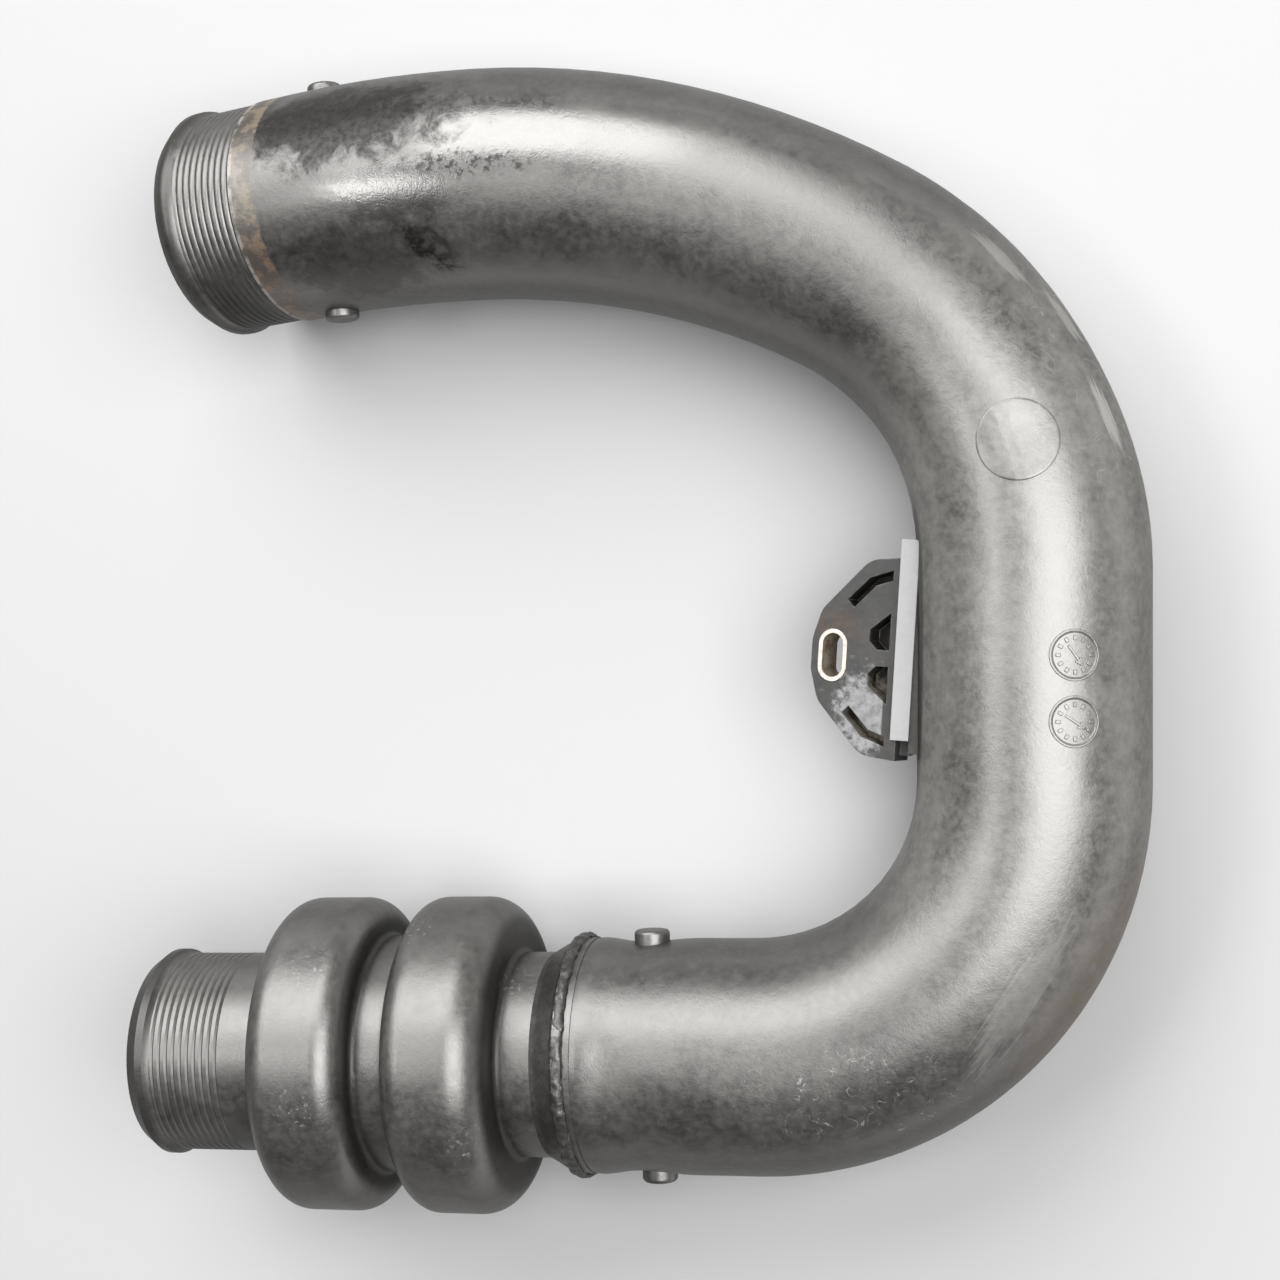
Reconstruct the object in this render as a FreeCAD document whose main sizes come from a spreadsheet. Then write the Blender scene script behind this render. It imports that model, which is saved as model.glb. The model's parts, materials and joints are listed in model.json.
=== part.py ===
"""Moulded intercooler pipe: a U-shaped blown duct with a welded bellows cuff and a welded bracket.

The pieces are drawn in the plane of the U, with the weld between pipe and cuff at the drawing's
origin, and are then laid down together on the three places that the pipe rests on.
"""
import FreeCAD, Part
import math
import os

import Sketcher

SIZES = (
    ("pipe_wall", 3.5, "wall of the blown pipe"),
    ("collar_diameter", 74.0, "pipe beside the weld"),
    ("lower_run_diameter", 75.4, "pipe behind the collar"),
    ("right_run_diameter", 72.4, "pipe beside the bracket"),
    ("upper_bend_diameter", 68.8, "narrowest place, in the upper bend"),
    ("crown_diameter", 75.2, "pipe at the top of the crown"),
    ("outlet_diameter", 75.2, "pipe at the outlet's shoulder"),
    ("lower_run_slope", 2.0, "degrees by which the lower run leans"),
    ("collar_length", 24.0, "weld to the end of the collar"),
    ("collar_flare", 10.0, "from collar to full lower run"),
    ("lower_run_length", 21.4, "flare to the lower bend"),
    ("lower_bend_radius", 90.0, "centre line of the lower bend"),
    ("right_run_length", 66.5, "straight stretch that carries the bracket"),
    ("upper_bend_radius", 110.5, "centre line of the upper bend"),
    ("upper_bend_angle", 61.7, "turn of the upper bend"),
    ("crown_radius", 260.0, "centre line of the slow crown"),
    ("outlet_bend_radius", 305.0, "centre line of the last bend"),
    ("outlet_turn", 5.5, "turn of the outlet in the plane of the U"),
    ("outlet_dip", 10.0, "dip of the outlet out of that plane"),
    ("outlet_straight", 10.4, "straight stretch before the shoulder"),
    ("lip_step", 1.0, "ring on the pipe's welded end, above the collar"),
    ("lip_length", 2.0, "length of that ring"),
    ("peg_diameter", 11.5, "locating pegs"),
    ("peg_height", 3.9, "lower pegs, above the pipe"),
    ("upper_peg_height", 2.8, "upper pegs, above the pipe"),
    ("peg_round", 1.4, "rounded edge of a peg"),
    ("lower_peg_distance", 21.0, "lower pegs, from the weld"),
    ("upper_peg_distance", 17.0, "upper pegs, from the shoulder"),
    ("bead_height", 1.4, "hose bead above its land"),
    ("bead_back", 1.7, "slope behind the bead"),
    ("bead_crest", 2.6, "flat crest of the bead"),
    ("bead_front", 4.2, "lead-in taper of the bead"),
    ("rim_drop", 1.6, "rim of the mouth below its land"),
    ("groove_pitch", 2.5, "ring grooves on the hose lands"),
    ("groove_depth", 0.5, "depth of a ring groove"),
    ("groove_width", 1.2, "mouth of a ring groove"),
    ("groove_margin", 1.2, "first groove, from the bead"),
    ("outlet_land_diameter", 74.0, "hose land of the outlet"),
    ("outlet_land_length", 22.4, "outlet land, shoulder to bead"),
    ("outlet_wall", 3.6, "wall of the outlet spigot"),
    ("cuff_wall", 3.0, "wall of the bellows cuff"),
    ("cuff_land_diameter", 66.2, "hose land of the cuff"),
    ("cuff_land_length", 39.7, "cuff land, bead to first convolution"),
    ("cuff_plain_band", 14.6, "ungrooved part of the cuff land"),
    ("first_convolution", 33.0, "length of the convolution at the mouth"),
    ("valley_length", 12.5, "floor between the convolutions"),
    ("second_convolution", 34.0, "length of the convolution at the weld"),
    ("crest_diameter", 103.4, "crest of both convolutions"),
    ("valley_diameter", 77.4, "floor between the convolutions"),
    ("front_share", 0.484, "rounding of the first convolution's front, as a share of its height"),
    ("inner_share", 0.654, "rounding towards the valley, as a share of its height"),
    ("rear_share", 0.652, "rounding of the second convolution's rear, as a share of its height"),
    ("root_round", 2.0, "rounding at the foot of a convolution"),
    ("neck_diameter", 66.6, "neck behind the bellows"),
    ("neck_length", 11.6, "straight part of the neck"),
    ("neck_cone", 8.0, "cone from the neck to the weld"),
    ("weld_step", 0.8, "welded end of the cuff, above the collar"),
    ("flash_height", 1.3, "weld flash above the welded end"),
    ("flash_slope", 1.0, "slopes of the weld flash"),
    ("flash_length", 2.4, "crest of the weld flash"),
    ("seat_distance", 36.4, "bracket seat, from the pipe's centre line"),
    ("seat_station", 41.2, "bracket seat, from the end of the lower bend"),
    ("seat_inset", 1.0, "seat narrower than the flange, each side"),
    ("seat_depth", 8.0, "depth of the block that forms the seat"),
    ("bracket_turn", 3.5, "lean of the bracket along the run"),
    ("flange_length", 68.0, "weld flange along the run"),
    ("flange_width", 18.0, "weld flange across the run"),
    ("flange_thickness", 5.8, "thickness of the weld flange"),
    ("chip_length", 5.0, "broken corner of the flange, along the run"),
    ("chip_depth", 7.0, "broken corner of the flange, across the run"),
    ("web_thickness", 11.0, "plate that carries the screw"),
    ("web_tilt", 15.0, "slope of that plate"),
    ("web_drop", 3.7, "middle of the plate below the flange's middle"),
    ("web_embed", 3.0, "root of the plate inside the flange"),
    ("web_reach", 27.6, "plate, flange to tip"),
    ("web_root", 64.0, "plate at the flange"),
    ("web_shoulder", 62.0, "plate where its flanks start"),
    ("web_shoulder_reach", 9.0, "flange to the start of the flanks"),
    ("web_flank", 29.0, "plate where its flanks end"),
    ("web_flank_reach", 24.8, "flange to the end of the flanks"),
    ("web_tip", 10.0, "flat at the plate's tip"),
    ("web_corner_round", 9.0, "rounded corners of the plate"),
    ("pocket_depth", 8.0, "pockets between the ribs"),
    ("pocket_root", 1.0, "flange to the pockets"),
    ("rib_half", 2.6, "half of the middle rib"),
    ("rib_pocket_neck", 5.3, "pocket beside the rib, length of its straight side"),
    ("rib_pocket_reach", 8.0, "pocket beside the rib, flange to its far side"),
    ("rib_pocket_low", 5.2, "near end of that far side, from the middle line"),
    ("rib_pocket_high", 8.8, "far end of that far side, from the middle line"),
    ("rib_pocket_end", 14.5, "end of that pocket at the flange, from the middle line"),
    ("rim_wall", 3.2, "rim outside the curved pocket, at the flange"),
    ("channel_width", 3.2, "curved pocket at the flange"),
    ("channel_skew", 2.4, "curved pocket, width along each axis where it slants"),
    ("channel_knee_reach", 9.0, "curved pocket, flange to its knee"),
    ("channel_knee_half", 25.2, "knee of the curved pocket, from the middle line"),
    ("channel_end_reach", 16.2, "curved pocket, flange to its end"),
    ("channel_end_half", 18.0, "end of the curved pocket, from the middle line"),
    ("slot_reach", 20.3, "flange to the middle of the screw slot"),
    ("slot_width", 7.0, "screw slot, across"),
    ("slot_length", 14.0, "screw slot, along"),
    ("limiter_wall", 1.4, "wall of the metal sleeve"),
    ("limiter_proud", 0.3, "sleeve beyond the plate, each side"),
)

X_AXIS = FreeCAD.Vector(1, 0, 0)
Y_AXIS = FreeCAD.Vector(0, 1, 0)
Z_AXIS = FreeCAD.Vector(0, 0, 1)
NO_TURN = FreeCAD.Rotation()
QUARTER_TURN = 90.0
HALF_TURN = 180.0
FULL_TURN = 360.0
REST_ROUNDS = 30
REST_RINGS = 90
SECTION_SPACING = 20.0
SAME_PLACE = 0.05
UPRIGHT_ANGLE = 5.0
MM3_PER_CM3 = 1000

doc = FreeCAD.newDocument("IntercoolerPipe")
sheet = doc.addObject("Spreadsheet::Sheet", "Sizes")
for row, (alias, amount, note) in enumerate(SIZES, start=1):
    sheet.set("A%d" % row, alias)
    sheet.set("B%d" % row, str(amount))
    sheet.set("C%d" % row, note)
    sheet.setAlias("B%d" % row, alias)
doc.recompute()


def size(alias):
    """The value of one cell of the sheet."""
    return float(getattr(sheet, alias))


def value(formula):
    """What a formula on the sheet's cells comes to now."""
    return float(sheet.evalExpression(formula))


def bind(feature, **formulas):
    """Tie properties of a feature to formulas on the sheet's cells."""
    for name, formula in formulas.items():
        feature.setExpression(name, formula)


def half(alias):
    return "Sizes.%s / 2" % alias


def moved(x=0.0, y=0.0, z=0.0):
    return FreeCAD.Placement(FreeCAD.Vector(x, y, z), NO_TURN)


def facing(position, heading):
    """A placement whose Z follows the heading and whose X stays normal to the plane of the U."""
    return FreeCAD.Placement(position, FreeCAD.Rotation(Z_AXIS, Y_AXIS, heading, "ZXY"))


# Sketch helpers


def new_sketch(body, name, role, offset=None):
    """A sketch on one of its body's own origin planes, moved by an offset if one is given."""
    sketch = body.newObject("Sketcher::SketchObject", name)
    plane = [item for item in body.Origin.OriginFeatures if item.Role == role][0]
    sketch.AttachmentSupport = (plane, [""])
    sketch.MapMode = "FlatFace"
    if offset is not None:
        sketch.AttachmentOffset = offset
    return sketch


def pin(sketch, geometry, end, x, y):
    """Fix one point of a sketch at two formulas."""
    for kind, formula in (("DistanceX", x), ("DistanceY", y)):
        index = sketch.addConstraint(Sketcher.Constraint(kind, -1, 1, geometry, end, value(formula)))
        sketch.setExpression("Constraints[%d]" % index, formula)


def outline(sketch, corners):
    """A closed outline of straight lines through corners that are pairs of formulas."""
    points = [FreeCAD.Vector(value(x), value(y), 0) for x, y in corners]
    first = sketch.GeometryCount
    count = len(points)
    for number in range(count):
        line = Part.LineSegment(points[number], points[(number + 1) % count])
        sketch.addGeometry(line)
    for number in range(count):
        following = first + (number + 1) % count
        sketch.addConstraint(Sketcher.Constraint("Coincident", first + number, 2, following, 1))
    for number, (x, y) in enumerate(corners):
        pin(sketch, first + number, 1, x, y)


def oblong(sketch, x, width, length):
    """A slot with round ends, its middle on the X axis at formula x, long way along Y."""
    radius = "(%s) / 2" % width
    reach = "((%s) - (%s)) / 2" % (length, width)
    middle, r, span = value(x), value(radius), value(reach)
    first = sketch.GeometryCount
    for centre_y, start in ((span, 0.0), (-span, math.pi)):
        circle = Part.Circle(FreeCAD.Vector(middle, centre_y, 0), Z_AXIS, r)
        sketch.addGeometry(Part.ArcOfCircle(circle, start, start + math.pi))
    for side in (-r, r):
        ends = [FreeCAD.Vector(middle + side, y, 0) for y in (span, -span)]
        if side > 0:
            ends.reverse()
        sketch.addGeometry(Part.LineSegment(*ends))
    top, bottom, left, right = range(first, first + 4)
    for one, one_end, other, other_end in (
        (top, 2, left, 1), (left, 2, bottom, 1), (bottom, 2, right, 1), (right, 2, top, 1),
    ):
        sketch.addConstraint(Sketcher.Constraint("Tangent", one, one_end, other, other_end))
    pin(sketch, top, 3, x, reach)
    pin(sketch, bottom, 3, x, "-(%s)" % reach)
    sketch.addConstraint(Sketcher.Constraint("Equal", top, bottom))
    index = sketch.addConstraint(Sketcher.Constraint("Radius", top, r))
    sketch.setExpression("Constraints[%d]" % index, radius)


def spun(body, name, corners):
    """Material made by turning an outline once round the body's X axis."""
    sketch = new_sketch(body, name + "_profile", "XY_Plane")
    outline(sketch, corners)
    turn = body.newObject("PartDesign::Revolution", name)
    turn.Profile = sketch
    turn.ReferenceAxis = (sketch, ["H_Axis"])
    turn.Angle = FULL_TURN
    doc.recompute()
    return turn


def ring_grooves(body, name, start, direction, land_radius, grooved_length):
    """Even ring grooves along a hose land, from formula start towards +X or -X."""
    before = body.Shape.Volume
    count = int(math.floor(value(grooved_length) / size("groove_pitch"))) + 1
    sketch = new_sketch(body, name + "_profile", "XY_Plane")
    mouth = "(%s) %s Sizes.groove_width / 2"
    lip = "(%s) + Sizes.groove_depth" % land_radius
    outline(sketch, (
        (mouth % (start, "-"), land_radius),
        (start, "(%s) - Sizes.groove_depth" % land_radius),
        (mouth % (start, "+"), land_radius),
        (mouth % (start, "+"), lip),
        (mouth % (start, "-"), lip),
    ))
    cut = body.newObject("PartDesign::Groove", name)
    cut.Profile = sketch
    cut.ReferenceAxis = (sketch, ["H_Axis"])
    cut.Angle = FULL_TURN
    doc.recompute()
    row = body.newObject("PartDesign::LinearPattern", name + "_row")
    row.Originals = [cut]
    row.Direction = (sketch, ["H_Axis"])
    row.Reversed = direction < 0
    row.Occurrences = count
    row.setExpression("Length", "Sizes.groove_pitch * %d" % (count - 1))
    body.Tip = row
    doc.recompute()
    if body.Shape.Volume >= before:
        raise RuntimeError(name + " cuts nothing")


def rounded(body, name, formula, wanted):
    """Fillet every edge of the body that the test accepts."""
    base = body.Tip
    edges = ["Edge%d" % number for number, edge in enumerate(base.Shape.Edges, start=1) if wanted(edge)]
    fillet = body.newObject("PartDesign::Fillet", name)
    fillet.Base = (base, edges)
    fillet.setExpression("Radius", formula)
    body.Tip = fillet
    doc.recompute()


def ring_at(axial, radius):
    """A test for the circular edge of a turned body at an axial place and a radius."""
    place, reach = value(axial), value(radius)

    def wanted(edge):
        if not isinstance(edge.Curve, Part.Circle):
            return False
        near_place = abs(edge.Curve.Center.x - place) < SAME_PLACE
        return near_place and abs(edge.Curve.Radius - reach) < SAME_PLACE

    return wanted


# The route of the pipe's centre line


class Route:
    """Straight runs and tangent arcs, drawn from the weld to the outlet's shoulder."""

    def __init__(self, heading):
        self.place = FreeCAD.Vector(0, 0, 0)
        self.heading = heading
        self.edges = []
        self.stations = {"weld": facing(self.place, heading)}
        self.distances = {"weld": 0.0}

    def note(self, name):
        self.stations[name] = facing(self.place, self.heading)
        self.distances[name] = sum(edge.Length for edge in self.edges)

    def straight(self, length, name):
        end = self.place + self.heading * length
        self.edges.append(Part.LineSegment(self.place, end).toShape())
        self.place = end
        self.note(name)

    def bend(self, radius, angle, axis, name):
        centre = self.place + axis.cross(self.heading) * radius
        arm = self.place - centre
        middle = centre + FreeCAD.Rotation(axis, angle / 2).multVec(arm)
        end = centre + FreeCAD.Rotation(axis, angle).multVec(arm)
        self.edges.append(Part.Arc(self.place, middle, end).toShape())
        self.place = end
        self.heading = FreeCAD.Rotation(axis, angle).multVec(self.heading)
        self.note(name)

    def at(self, distance):
        """The place and heading at a distance along the route."""
        for edge in self.edges:
            if distance <= edge.Length or edge is self.edges[-1]:
                parameter = edge.getParameterByLength(min(distance, edge.Length))
                return edge.valueAt(parameter), edge.tangentAt(parameter)
            distance -= edge.Length


slope = FreeCAD.Rotation(Z_AXIS, size("lower_run_slope"))
route = Route(slope.multVec(X_AXIS))
route.straight(size("collar_length"), "collar")
route.straight(size("collar_flare"), "flare")
route.straight(size("lower_run_length"), "lower_run")
route.bend(size("lower_bend_radius"), QUARTER_TURN - size("lower_run_slope"), Z_AXIS, "lower_bend")
route.straight(size("right_run_length"), "right_run")
upper_half = size("upper_bend_angle") / 2
route.bend(size("upper_bend_radius"), upper_half, Z_AXIS, "upper_middle")
route.bend(size("upper_bend_radius"), upper_half, Z_AXIS, "upper_bend")
route.bend(size("crown_radius"), QUARTER_TURN - size("upper_bend_angle"), Z_AXIS, "crown")
in_plane = FreeCAD.Rotation(Z_AXIS, size("outlet_turn")).multVec(route.heading)
dip_axis = Z_AXIS.cross(in_plane)
outlet_heading = FreeCAD.Rotation(dip_axis, size("outlet_dip")).multVec(in_plane)
outlet_axis = route.heading.cross(outlet_heading).normalize()
outlet_angle = math.degrees(route.heading.getAngle(outlet_heading))
route.bend(size("outlet_bend_radius"), outlet_angle, outlet_axis, "outlet_bend")
route.straight(size("outlet_straight"), "shoulder")

route_line = doc.addObject("Part::Feature", "route_line")
route_line.Shape = Part.Wire(route.edges)

# Places of the route where the pipe's diameter is given: a station and the size that rules there
SECTIONS = (
    ("weld", "collar_diameter"),
    ("collar", "collar_diameter"),
    ("flare", "lower_run_diameter"),
    ("lower_run", "lower_run_diameter"),
    ("lower_bend", "right_run_diameter"),
    ("right_run", "right_run_diameter"),
    ("upper_middle", "upper_bend_diameter"),
    ("crown", "crown_diameter"),
    ("shoulder", "outlet_diameter"),
)


def skin_radius(distance):
    """The formula for the skin's radius at a distance along the route, eased between its sections."""
    for (start, start_size), (end, end_size) in zip(SECTIONS, SECTIONS[1:]):
        low, high = route.distances[start], route.distances[end]
        if distance <= high:
            break
    share = min((distance - low) / (high - low), 1.0)
    ease = share * share * (3 - 2 * share)
    return "Sizes.%s / 2 * %.6f + Sizes.%s / 2 * %.6f" % (start_size, 1 - ease, end_size, ease)


def skin_distances():
    """Distances along the route that are close enough together for a smooth skin."""
    distances = [0.0]
    for (start, _), (end, _) in zip(SECTIONS, SECTIONS[1:]):
        low, high = route.distances[start], route.distances[end]
        steps = math.ceil((high - low) / SECTION_SPACING)
        distances += [low + (high - low) * (step + 1) / steps for step in range(steps)]
    return distances


def swept(name, inset):
    """The pipe's outer skin, or its bore where the sections are inset by a wall."""
    circles = []
    for number, distance in enumerate(skin_distances()):
        circle = doc.addObject("Part::Circle", "%s_%d" % (name, number))
        circle.setExpression("Radius", skin_radius(distance) + inset)
        circle.Placement = facing(*route.at(distance))
        circles.append(circle)
    sweep = doc.addObject("Part::Sweep", name)
    sweep.Sections = circles
    sweep.Spine = (route_line, ["Edge%d" % (number + 1) for number in range(len(route.edges))])
    sweep.Solid = True
    sweep.Frenet = False
    sweep.Transition = "Transformed"
    return sweep


outer_skin = swept("outer_skin", "")
bore = swept("bore", " - Sizes.pipe_wall")

# The outlet spigot, along its own X from the shoulder to the mouth
OUTLET_RADIUS = half("outlet_land_diameter")
OUTLET_BEAD = "Sizes.outlet_land_length + Sizes.bead_back"
OUTLET_CREST_END = OUTLET_BEAD + " + Sizes.bead_crest"
OUTLET_MOUTH = OUTLET_CREST_END + " + Sizes.bead_front"
OUTLET_BORE = OUTLET_RADIUS + " - Sizes.outlet_wall"

outlet = doc.addObject("PartDesign::Body", "outlet_spigot")
spun(outlet, "outlet_turned", (
    ("0", "0"),
    ("0", OUTLET_RADIUS),
    ("Sizes.outlet_land_length", OUTLET_RADIUS),
    (OUTLET_BEAD, OUTLET_RADIUS + " + Sizes.bead_height"),
    (OUTLET_CREST_END, OUTLET_RADIUS + " + Sizes.bead_height"),
    (OUTLET_MOUTH, OUTLET_RADIUS + " - Sizes.rim_drop"),
    (OUTLET_MOUTH, "0"),
))
ring_grooves(outlet, "outlet_grooves", "Sizes.outlet_land_length - Sizes.groove_margin", -1,
             OUTLET_RADIUS, "Sizes.outlet_land_length - 2 * Sizes.groove_margin")
shoulder = route.stations["shoulder"]
axis_along_x = FreeCAD.Placement(FreeCAD.Vector(), FreeCAD.Rotation(Y_AXIS, -QUARTER_TURN))
outlet.Placement = shoulder.multiply(axis_along_x)

outlet_bore = doc.addObject("Part::Cylinder", "outlet_bore")
bind(outlet_bore, Radius=OUTLET_BORE, Height=OUTLET_MOUTH)
outlet_bore.Placement = shoulder

weld_lip = doc.addObject("Part::Cylinder", "weld_lip")
bind(weld_lip, Radius=half("collar_diameter") + " + Sizes.lip_step", Height="Sizes.lip_length")
weld_lip.Placement = route.stations["weld"]


def peg(name, distance, pipe_diameter, height, side):
    """A round peg that stands in the plane of the U, on one side of the pipe."""
    place, heading = route.at(distance)
    outwards = Z_AXIS.cross(heading).normalize() * side
    post = doc.addObject("Part::Cylinder", name + "_post")
    bind(post, Radius=half("peg_diameter"), Height="Sizes.%s + Sizes.pipe_wall" % height)
    foot = size(pipe_diameter) / 2 - size("pipe_wall")
    post.Placement = FreeCAD.Placement(place + outwards * foot, FreeCAD.Rotation(Z_AXIS, outwards))
    doc.recompute()
    top = [number for number, edge in enumerate(post.Shape.Edges, start=1)
           if (edge.CenterOfMass - place).dot(outwards) > foot + size("pipe_wall")]
    rounding = doc.addObject("Part::Fillet", name)
    rounding.Base = post
    rounding.Edges = [(number, size("peg_round"), size("peg_round")) for number in top
                      if isinstance(post.Shape.Edges[number - 1].Curve, Part.Circle)]
    return rounding


upper_peg_place = route.distances["shoulder"] - size("upper_peg_distance")
pegs = []
for side_name, side in (("inner", 1), ("outer", -1)):
    pegs.append(peg("lower_peg_" + side_name, size("lower_peg_distance"),
                    "collar_diameter", "peg_height", side))
    pegs.append(peg("upper_peg_" + side_name, upper_peg_place,
                    "outlet_diameter", "upper_peg_height", side))

# The bracket's own frame: X away from the pipe, Y down the run, Z out of the plane of the U
seat_place, seat_heading = route.at(route.distances["lower_bend"] + size("seat_station"))
inwards = Z_AXIS.cross(seat_heading)
seat_frame = FreeCAD.Placement(
    seat_place + inwards * size("seat_distance"),
    FreeCAD.Rotation(Z_AXIS, HALF_TURN - size("bracket_turn")))

seat_block = doc.addObject("Part::Box", "seat_block")
bind(seat_block, Length="Sizes.seat_depth", Width="Sizes.flange_length - 2 * Sizes.seat_inset",
     Height="Sizes.flange_width - 2 * Sizes.seat_inset")
seat_block.Placement = seat_frame.multiply(moved(
    -size("seat_depth"), size("seat_inset") - size("flange_length") / 2,
    size("seat_inset") - size("flange_width") / 2))

flange_room = doc.addObject("Part::Box", "flange_room")
bind(flange_room, Length="Sizes.flange_thickness", Width="Sizes.flange_length",
     Height="Sizes.right_run_diameter")
flange_room.Placement = seat_frame.multiply(moved(
    0.0, -size("flange_length") / 2, -size("right_run_diameter") / 2))

pipe_outside = doc.addObject("Part::MultiFuse", "pipe_outside")
pipe_outside.Shapes = [outer_skin, outlet, weld_lip, seat_block] + pegs

pipe_bored = doc.addObject("Part::Cut", "pipe_bored")
pipe_bored.Base = pipe_outside
pipe_bored.Tool = bore

pipe_open = doc.addObject("Part::Cut", "pipe_open")
pipe_open.Base = pipe_bored
pipe_open.Tool = outlet_bore

main_pipe = doc.addObject("Part::Cut", "main_pipe")
main_pipe.Base = pipe_open
main_pipe.Tool = flange_room
doc.recompute()

# The bellows cuff, along its own X from the mouth to the weld
CUFF_RADIUS = half("cuff_land_diameter")
CREST_RADIUS = half("crest_diameter")
VALLEY_RADIUS = half("valley_diameter")
NECK_RADIUS = half("neck_diameter")
WELD_RADIUS = half("collar_diameter") + " + Sizes.weld_step"
CREST_START = "Sizes.bead_front"
CREST_END = CREST_START + " + Sizes.bead_crest"
LAND_START = CREST_END + " + Sizes.bead_back"
FIRST_START = LAND_START + " + Sizes.cuff_land_length"
FIRST_END = FIRST_START + " + Sizes.first_convolution"
SECOND_START = FIRST_END + " + Sizes.valley_length"
SECOND_END = SECOND_START + " + Sizes.second_convolution"
CONE_START = SECOND_END + " + Sizes.neck_length"
CONE_END = CONE_START + " + Sizes.neck_cone"
FLASH_START = CONE_END + " + Sizes.flash_slope"
FLASH_END = FLASH_START + " + Sizes.flash_length"
CUFF_LENGTH = FLASH_END + " + Sizes.flash_slope"
WALL = " - Sizes.cuff_wall"
THICKER = " + Sizes.cuff_wall"
WELD_BORE = half("collar_diameter") + " - Sizes.pipe_wall"
SHOULDER = "Sizes.%s * (Sizes.crest_diameter - Sizes.%s) / 2"
FRONT_SHOULDER = SHOULDER % ("front_share", "cuff_land_diameter")
INNER_SHOULDER = SHOULDER % ("inner_share", "valley_diameter")
REAR_SHOULDER = SHOULDER % ("rear_share", "neck_diameter")

cuff = doc.addObject("PartDesign::Body", "bellows_cuff")
spun(cuff, "cuff_turned", (
    ("0", CUFF_RADIUS + " - Sizes.rim_drop"),
    (CREST_START, CUFF_RADIUS + " + Sizes.bead_height"),
    (CREST_END, CUFF_RADIUS + " + Sizes.bead_height"),
    (LAND_START, CUFF_RADIUS),
    (FIRST_START, CUFF_RADIUS),
    (FIRST_START, CREST_RADIUS),
    (FIRST_END, CREST_RADIUS),
    (FIRST_END, VALLEY_RADIUS),
    (SECOND_START, VALLEY_RADIUS),
    (SECOND_START, CREST_RADIUS),
    (SECOND_END, CREST_RADIUS),
    (SECOND_END, NECK_RADIUS),
    (CONE_START, NECK_RADIUS),
    (CONE_END, WELD_RADIUS),
    (FLASH_START, WELD_RADIUS + " + Sizes.flash_height"),
    (FLASH_END, WELD_RADIUS + " + Sizes.flash_height"),
    (CUFF_LENGTH, WELD_RADIUS),
    (CUFF_LENGTH, WELD_BORE),
    (CONE_END, WELD_BORE),
    (CONE_START, NECK_RADIUS + WALL),
    (SECOND_END + WALL, NECK_RADIUS + WALL),
    (SECOND_END + WALL, CREST_RADIUS + WALL),
    (SECOND_START + THICKER, CREST_RADIUS + WALL),
    (SECOND_START + THICKER, VALLEY_RADIUS + WALL),
    (FIRST_END + WALL, VALLEY_RADIUS + WALL),
    (FIRST_END + WALL, CREST_RADIUS + WALL),
    (FIRST_START + THICKER, CREST_RADIUS + WALL),
    (FIRST_START + THICKER, CUFF_RADIUS + WALL),
    ("0", CUFF_RADIUS + WALL),
))

# Each convolution edge: its name, its place along the cuff, its outer rounding and the side of its wall
CONVOLUTION_EDGES = (
    ("first_front", FIRST_START, FRONT_SHOULDER, THICKER),
    ("first_rear", FIRST_END, INNER_SHOULDER, WALL),
    ("second_front", SECOND_START, INNER_SHOULDER, THICKER),
    ("second_rear", SECOND_END, REAR_SHOULDER, WALL),
)
for name, place, rounding, inner_side in CONVOLUTION_EDGES:
    rounded(cuff, name + "_outside", rounding, ring_at(place, CREST_RADIUS))
    rounded(cuff, name + "_inside", rounding + WALL, ring_at(place + inner_side, CREST_RADIUS + WALL))
FEET = (("first_foot", FIRST_START, CUFF_RADIUS), ("valley_front", FIRST_END, VALLEY_RADIUS),
        ("valley_rear", SECOND_START, VALLEY_RADIUS), ("neck_foot", SECOND_END, NECK_RADIUS))
for name, place, radius in FEET:
    rounded(cuff, name, "Sizes.root_round", ring_at(place, radius))
ring_grooves(cuff, "cuff_grooves", LAND_START + " + Sizes.groove_margin", 1, CUFF_RADIUS,
             "Sizes.cuff_land_length - Sizes.cuff_plain_band - 2 * Sizes.groove_margin")

cuff_length = value(CUFF_LENGTH)
cuff_frame = FreeCAD.Placement(route.stations["weld"].Rotation.multVec(Z_AXIS) * -cuff_length, slope)

# The bracket: a weld flange and a tilted web with pockets on its face
WEB_ROOT_X = "-Sizes.web_embed"
web_frame = FreeCAD.Placement(
    FreeCAD.Vector(size("flange_thickness"), size("web_drop"), 0),
    FreeCAD.Rotation(Y_AXIS, size("web_tilt")))
web_face = web_frame.multiply(moved(z=size("web_thickness") / 2))

bracket = doc.addObject("PartDesign::Body", "bracket")


def raised(body, name, sketch, thickness):
    """Material of a thickness, equally on both sides of its sketch."""
    plate = body.newObject("PartDesign::Pad", name)
    plate.Profile = sketch
    plate.SideType = "Symmetric"
    plate.setExpression("Length", thickness)
    body.Tip = plate
    doc.recompute()
    return plate


def sunk(body, name, sketch, depth):
    """A pocket from its sketch into the material."""
    before = body.Shape.Volume
    pocket = body.newObject("PartDesign::Pocket", name)
    pocket.Profile = sketch
    pocket.setExpression("Length", depth)
    body.Tip = pocket
    doc.recompute()
    if body.Shape.Volume >= before:
        raise RuntimeError(name + " cuts nothing")


def box_corners(x_low, x_high, y_low, y_high):
    return ((x_low, y_low), (x_high, y_low), (x_high, y_high), (x_low, y_high))


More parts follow.
